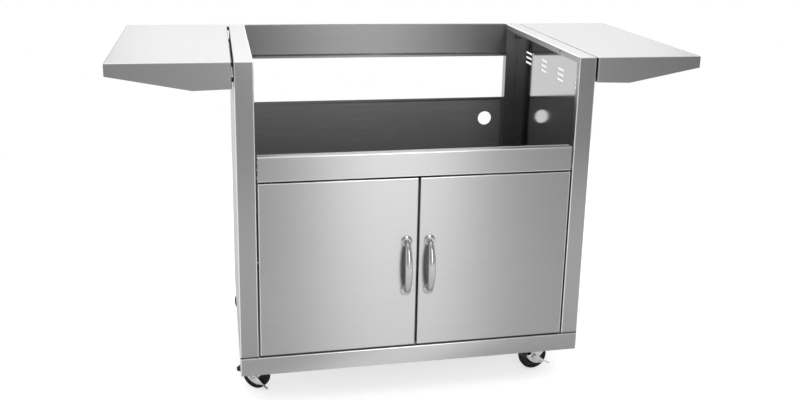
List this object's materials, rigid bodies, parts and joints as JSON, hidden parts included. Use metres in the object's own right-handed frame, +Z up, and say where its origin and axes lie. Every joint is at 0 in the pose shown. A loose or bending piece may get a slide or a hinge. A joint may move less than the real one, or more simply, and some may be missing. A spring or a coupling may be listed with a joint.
{
  "type": "grill cart with storage",
  "caption": "Wheeled stainless cart with an open bay for a drop-in grill, a two-door cabinet below and a fixed side shelf at each end.",
  "frame": {"origin": "on the floor under the centre of the whole cart", "axes": "+Z up, +X to the right-hand shelf as seen from the front, front faces -Y"},
  "size_m": [1.416, 0.6444, 0.853],
  "materials": {
    "brushed_sheet": "brushed stainless sheet",
    "inner_sheet": "mill-bright stainless sheet",
    "satin_handle": "satin stainless",
    "polished_fastener": "bright zinc",
    "zinc_plate": "zinc plated",
    "black_plastic": "moulded black",
    "nylon": "black nylon",
    "tyre_rubber": "solid rubber"
  },
  "bodies": {
    "cart": {"base_tray": "brushed_sheet", "left_caster_beam": "zinc_plate", "right_caster_beam": "zinc_plate", "left_side_panel": "brushed_sheet", "right_side_panel": "brushed_sheet", "front_rail": "brushed_sheet", "front_rail_brackets": "zinc_plate", "rear_rail": "inner_sheet", "back_panel": "inner_sheet", "door_catch": "black_plastic", "door_pivot_pins": "zinc_plate", "left_shelf": "brushed_sheet", "right_shelf": "brushed_sheet", "shelf_spacers": "black_plastic", "shelf_bolts": "polished_fastener", "body_screws": "polished_fastener", "caster_kingpins": "zinc_plate", "caster_bolts": "zinc_plate", "front_left_caster_plate": "zinc_plate", "front_right_caster_plate": "zinc_plate", "rear_left_caster_plate": "zinc_plate", "rear_right_caster_plate": "zinc_plate"},
    "left_door": {"left_door_skin": "brushed_sheet", "left_door_liner": "inner_sheet", "left_door_bushes": "nylon", "left_door_strike": "zinc_plate", "left_handle": "satin_handle", "left_handle_rosettes": "satin_handle", "left_handle_screws": "polished_fastener"},
    "right_door": {"right_door_skin": "brushed_sheet", "right_door_liner": "inner_sheet", "right_door_bushes": "nylon", "right_door_strike": "zinc_plate", "right_handle": "satin_handle", "right_handle_rosettes": "satin_handle", "right_handle_screws": "polished_fastener"},
    "front_left_swivel": {"front_left_fork": "zinc_plate", "front_left_axle": "polished_fastener"},
    "front_left_wheel": {"front_left_hub": "black_plastic", "front_left_tyre": "tyre_rubber"},
    "front_left_brake": {"front_left_brake_lever": "zinc_plate", "front_left_brake_pedal": "black_plastic"},
    "front_right_swivel": {"front_right_fork": "zinc_plate", "front_right_axle": "polished_fastener"},
    "front_right_wheel": {"front_right_hub": "black_plastic", "front_right_tyre": "tyre_rubber"},
    "front_right_brake": {"front_right_brake_lever": "zinc_plate", "front_right_brake_pedal": "black_plastic"},
    "rear_left_swivel": {"rear_left_fork": "zinc_plate", "rear_left_axle": "polished_fastener"},
    "rear_left_wheel": {"rear_left_hub": "black_plastic", "rear_left_tyre": "tyre_rubber"},
    "rear_right_swivel": {"rear_right_fork": "zinc_plate", "rear_right_axle": "polished_fastener"},
    "rear_right_wheel": {"rear_right_hub": "black_plastic", "rear_right_tyre": "tyre_rubber"}
  },
  "joints": [
    {"name": "left_door_hinge", "type": "hinge", "parent": "cart", "child": "left_door", "pos_m": [-0.3741, -0.2722, 0.348], "axis": [0, 0, -1], "range_deg": [0, 105]},
    {"name": "right_door_hinge", "type": "hinge", "parent": "cart", "child": "right_door", "pos_m": [0.3741, -0.2722, 0.348], "axis": [0, 0, 1], "range_deg": [0, 105]},
    {"name": "front_left_swivel_turn", "type": "hinge", "parent": "cart", "child": "front_left_swivel", "pos_m": [-0.367, -0.2102, 0.095], "axis": [0, 0, 1], "continuous": true},
    {"name": "front_left_wheel_spin", "type": "hinge", "parent": "front_left_swivel", "child": "front_left_wheel", "pos_m": [-0.3908, -0.19194, 0.037], "axis": [0.6088, 0.7934, 0], "continuous": true},
    {"name": "front_left_brake_rock", "type": "hinge", "parent": "front_left_swivel", "child": "front_left_brake", "pos_m": [-0.3908, -0.19194, 0.037], "axis": [-0.6088, -0.7934, 0], "range_deg": [0, 15]},
    {"name": "front_right_swivel_turn", "type": "hinge", "parent": "cart", "child": "front_right_swivel", "pos_m": [0.367, -0.2102, 0.095], "axis": [0, 0, 1], "continuous": true},
    {"name": "front_right_wheel_spin", "type": "hinge", "parent": "front_right_swivel", "child": "front_right_wheel", "pos_m": [0.33711, -0.21282, 0.037], "axis": [-0.0872, 0.9962, 0], "continuous": true},
    {"name": "front_right_brake_rock", "type": "hinge", "parent": "front_right_swivel", "child": "front_right_brake", "pos_m": [0.33711, -0.21282, 0.037], "axis": [0.0872, -0.9962, 0], "range_deg": [0, 15]},
    {"name": "rear_left_swivel_turn", "type": "hinge", "parent": "cart", "child": "rear_left_swivel", "pos_m": [-0.367, 0.2478, 0.095], "axis": [0, 0, 1], "continuous": true},
    {"name": "rear_left_wheel_spin", "type": "hinge", "parent": "rear_left_swivel", "child": "rear_left_wheel", "pos_m": [-0.397, 0.2478, 0.037], "axis": [0, 1, 0], "continuous": true},
    {"name": "rear_right_swivel_turn", "type": "hinge", "parent": "cart", "child": "rear_right_swivel", "pos_m": [0.367, 0.2478, 0.095], "axis": [0, 0, 1], "continuous": true},
    {"name": "rear_right_wheel_spin", "type": "hinge", "parent": "rear_right_swivel", "child": "rear_right_wheel", "pos_m": [0.337, 0.2478, 0.037], "axis": [0, 1, 0], "continuous": true}
  ]
}
